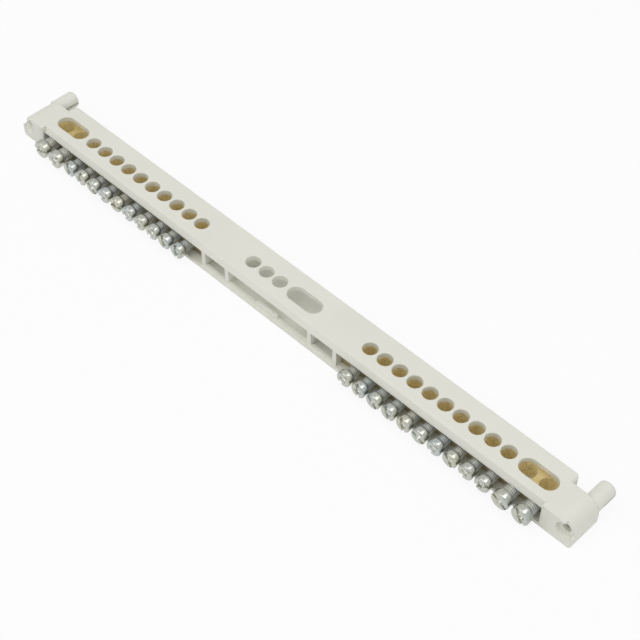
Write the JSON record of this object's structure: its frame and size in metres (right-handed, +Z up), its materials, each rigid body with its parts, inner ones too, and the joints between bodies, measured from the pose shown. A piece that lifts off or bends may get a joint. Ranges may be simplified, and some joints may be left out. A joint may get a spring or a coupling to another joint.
{
  "type": "terminal rail",
  "caption": "Grey moulded terminal rail with two brass bars, a row of clamping screws on each, conductor entries along the top and a pegged lug at each end.",
  "frame": {"origin": "on the flat underside, at the middle of the rail's length, below the line of the conductor entries", "axes": "+X along the rail, +Y to the back where the pegs point, +Z up out of the conductor entries"},
  "size_m": [0.2618, 0.027, 0.0105],
  "materials": {
    "grey_plastic": "fine matt moulding",
    "brass": "drawn",
    "zinc_steel": "bright zinc plate"
  },
  "bodies": {
    "root": {"housing": "grey_plastic", "left_terminal_bar": "brass", "right_terminal_bar": "brass", "left_small_clamp_screw_01": "zinc_steel", "left_small_clamp_screw_02": "zinc_steel", "left_small_clamp_screw_03": "zinc_steel", "left_small_clamp_screw_04": "zinc_steel", "left_small_clamp_screw_05": "zinc_steel", "left_small_clamp_screw_06": "zinc_steel", "left_small_clamp_screw_07": "zinc_steel", "left_small_clamp_screw_08": "zinc_steel", "left_small_clamp_screw_09": "zinc_steel", "left_small_clamp_screw_10": "zinc_steel", "left_large_clamp_screw_1": "zinc_steel", "left_large_clamp_screw_2": "zinc_steel", "right_small_clamp_screw_01": "zinc_steel", "right_small_clamp_screw_02": "zinc_steel", "right_small_clamp_screw_03": "zinc_steel", "right_small_clamp_screw_04": "zinc_steel", "right_small_clamp_screw_05": "zinc_steel", "right_small_clamp_screw_06": "zinc_steel", "right_small_clamp_screw_07": "zinc_steel", "right_small_clamp_screw_08": "zinc_steel", "right_small_clamp_screw_09": "zinc_steel", "right_small_clamp_screw_10": "zinc_steel", "right_large_clamp_screw_1": "zinc_steel", "right_large_clamp_screw_2": "zinc_steel"}
  },
  "joints": []
}
